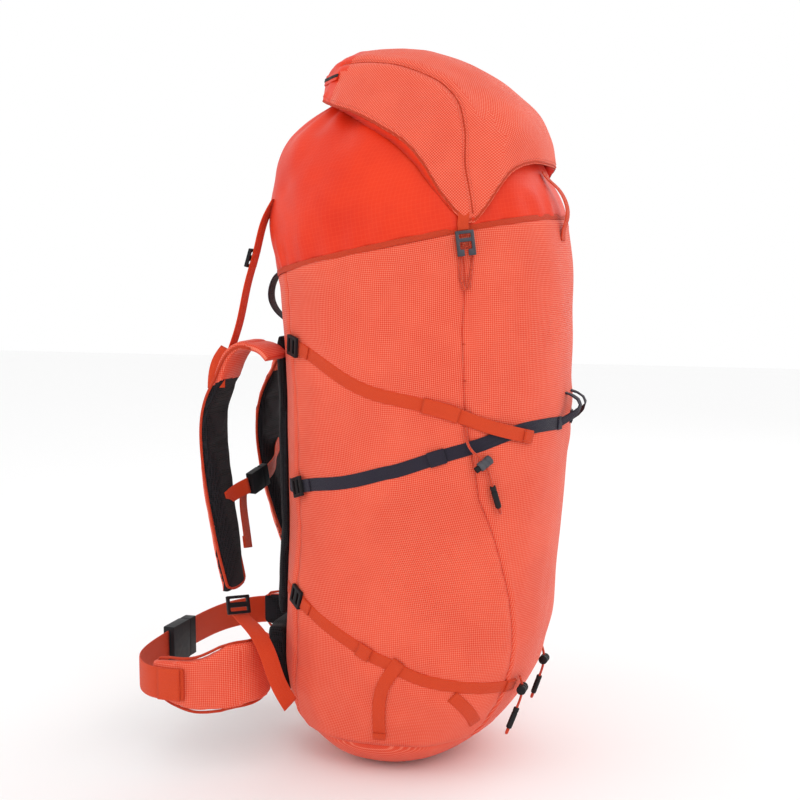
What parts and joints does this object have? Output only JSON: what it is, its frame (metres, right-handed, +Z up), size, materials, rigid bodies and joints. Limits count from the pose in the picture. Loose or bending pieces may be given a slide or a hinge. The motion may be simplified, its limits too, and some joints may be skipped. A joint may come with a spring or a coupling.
{
  "type": "hiking backpack",
  "caption": "Tall top-loading hiking backpack with a hinged lid, collar, padded shoulder straps, hip belt, compression straps and tool holders.",
  "frame": {"origin": "centre of the flat base that the pack stands on", "axes": "+Z up, +Y towards the wearer (harness side), -X the wearer's left"},
  "size_m": [0.351, 0.5187, 0.845],
  "materials": {
    "ripstop": "ripstop grid weave, satin",
    "plain_shell": "plain coated weave, slight sheen",
    "webbing": "flat woven webbing",
    "webbing_dark": "flat woven webbing",
    "pad_mesh": "spacer mesh over foam",
    "moulded_black": "moulded acetal, fine satin",
    "hook_metal": "dark anodised",
    "frame_plastic": "sheet polyethylene",
    "stay_metal": "satin bar",
    "cord": "braided sheath",
    "zip_tape": "zip tape with a coated coil",
    "zip_metal": "dark cast"
  },
  "bodies": {
    "root": {"front_panel": "ripstop", "left_side_panel": "ripstop", "right_side_panel": "ripstop", "back_panel": "pad_mesh", "bottom_panel": "ripstop", "collar": "plain_shell", "back_pad": "pad_mesh", "lumbar_pad": "pad_mesh", "shoulder_yokes": "ripstop", "load_lifters": "webbing", "lower_webbing": "webbing", "belt_roots": "ripstop", "haul_loop": "webbing_dark", "rope_strap_loop": "webbing", "frame_sheet": "frame_plastic", "frame_stay": "stay_metal", "cord_lock_barrels": "moulded_black", "cord_toggles": "moulded_black", "left_top_strap": "webbing", "left_middle_strap": "webbing_dark", "left_lower_strap": "webbing", "left_lid_loop": "cord", "left_side_tool_cord": "cord", "left_base_tool_cord": "cord", "right_top_strap": "webbing", "right_middle_strap": "webbing_dark", "right_lower_strap": "webbing", "right_lid_loop": "cord", "right_side_tool_cord": "cord", "right_base_tool_cord": "cord"},
    "shoulder_straps": {"left_shoulder_pad": "ripstop", "right_shoulder_pad": "ripstop", "left_lower_lock": "moulded_black", "right_lower_lock": "moulded_black"},
    "chest_strap": {"chest_strap_left": "webbing", "chest_buckle": "moulded_black"},
    "chest_plug_half": {"chest_strap_right": "webbing", "chest_plug": "moulded_black"},
    "left_wing": {"left_hip_wing": "ripstop", "left_hip_webbing": "webbing", "hip_buckle": "moulded_black"},
    "right_wing": {"right_hip_wing": "ripstop", "right_hip_webbing": "webbing", "hip_plug": "moulded_black"},
    "lid": {"lid_pocket": "ripstop", "lid_zip": "zip_tape", "lid_tabs": "webbing"},
    "zip_pull": {"lid_zip_pull": "zip_metal"},
    "left_top_hook": {"left_top_hook": "moulded_black"},
    "left_middle_hook": {"left_middle_hook": "moulded_black"},
    "left_lower_hook": {"left_lower_hook": "moulded_black"},
    "left_lifter_lock": {"left_lifter_lock": "moulded_black"},
    "left_lid_hook": {"left_lid_hook": "hook_metal"},
    "left_lock_plunger": {"left_lock_plunger": "moulded_black"},
    "right_top_hook": {"right_top_hook": "moulded_black"},
    "right_middle_hook": {"right_middle_hook": "moulded_black"},
    "right_lower_hook": {"right_lower_hook": "moulded_black"},
    "right_lifter_lock": {"right_lifter_lock": "moulded_black"},
    "right_lid_hook": {"right_lid_hook": "hook_metal"},
    "right_lock_plunger": {"right_lock_plunger": "moulded_black"}
  },
  "joints": [
    {"name": "lid_hinge", "type": "hinge", "parent": "root", "child": "lid", "pos_m": [0, 0.084, 0.792], "axis": [-1, 0, 0], "range_deg": [0, 140]},
    {"name": "zip_slide", "type": "slide", "parent": "lid", "child": "zip_pull", "axis": [1, 0, 0], "range_m": [-0.025, 0.025]},
    {"name": "shoulder_swing", "type": "hinge", "parent": "root", "child": "shoulder_straps", "pos_m": [0, 0.188, 0.448], "axis": [1, 0, 0], "range_deg": [0, 25]},
    {"name": "chest_height", "type": "slide", "parent": "shoulder_straps", "child": "chest_strap", "axis": [0, 0.1959, 0.9806], "range_m": [-0.015, 0.015]},
    {"name": "chest_release", "type": "slide", "parent": "chest_strap", "child": "chest_plug_half", "axis": [0.9529, -0.1803, 0.2437], "range_m": [0, 0.016]},
    {"name": "left_wing_swing", "type": "hinge", "parent": "root", "child": "left_wing", "pos_m": [-0.15, 0.152, 0.107], "axis": [0, 0, 1], "range_deg": [0, 60]},
    {"name": "right_wing_swing", "type": "hinge", "parent": "root", "child": "right_wing", "pos_m": [0.15, 0.152, 0.107], "axis": [0, 0, -1], "range_deg": [0, 60]},
    {"name": "left_top_hook_tilt", "type": "hinge", "parent": "root", "child": "left_top_hook", "pos_m": [-0.11689, 0.0881, 0.50276], "axis": [0.154, 0.109, -0.982], "range_deg": [0, 60]},
    {"name": "left_middle_hook_tilt", "type": "hinge", "parent": "root", "child": "left_middle_hook", "pos_m": [-0.11372, 0.08455, 0.33493], "axis": [-0.171, -0.221, -0.9602], "range_deg": [0, 60]},
    {"name": "left_lower_hook_tilt", "type": "hinge", "parent": "root", "child": "left_lower_hook", "pos_m": [-0.1107, 0.08895, 0.21161], "axis": [0.222, 0.28, -0.934], "range_deg": [0, 60]},
    {"name": "left_lifter_tilt", "type": "hinge", "parent": "root", "child": "left_lifter_lock", "pos_m": [-0.084, 0.14278, 0.61083], "axis": [1, 0, 0], "range_deg": [0, 45]},
    {"name": "left_lid_hook_swing", "type": "hinge", "parent": "lid", "child": "left_lid_hook", "pos_m": [-0.14835, -0.12887, 0.62947], "axis": [-0.4055, 0.9072, -0.1119], "range_deg": [0, 75]},
    {"name": "left_lock_press", "type": "slide", "parent": "root", "child": "left_lock_plunger", "axis": [0.5483, -0.623, 0.5579], "range_m": [0, 0.0025], "stiffness_N_per_m": 400},
    {"name": "right_top_hook_tilt", "type": "hinge", "parent": "root", "child": "right_top_hook", "pos_m": [0.11689, 0.0881, 0.50276], "axis": [0.154, -0.109, 0.982], "range_deg": [0, 60]},
    {"name": "right_middle_hook_tilt", "type": "hinge", "parent": "root", "child": "right_middle_hook", "pos_m": [0.11372, 0.08455, 0.33493], "axis": [-0.171, 0.221, 0.9602], "range_deg": [0, 60]},
    {"name": "right_lower_hook_tilt", "type": "hinge", "parent": "root", "child": "right_lower_hook", "pos_m": [0.1107, 0.08895, 0.21161], "axis": [0.222, -0.28, 0.934], "range_deg": [0, 60]},
    {"name": "right_lifter_tilt", "type": "hinge", "parent": "root", "child": "right_lifter_lock", "pos_m": [0.084, 0.14278, 0.61083], "axis": [1, 0, 0], "range_deg": [0, 45]},
    {"name": "right_lid_hook_swing", "type": "hinge", "parent": "lid", "child": "right_lid_hook", "pos_m": [0.14835, -0.12887, 0.62947], "axis": [-0.4055, -0.9072, 0.1119], "range_deg": [0, 75]},
    {"name": "right_lock_press", "type": "slide", "parent": "root", "child": "right_lock_plunger", "axis": [-0.5483, -0.623, 0.5579], "range_m": [0, 0.0025], "stiffness_N_per_m": 400}
  ],
  "couplings": [
    {"joint": "right_wing_swing", "follows": "left_wing_swing", "ratio": 1}
  ]
}
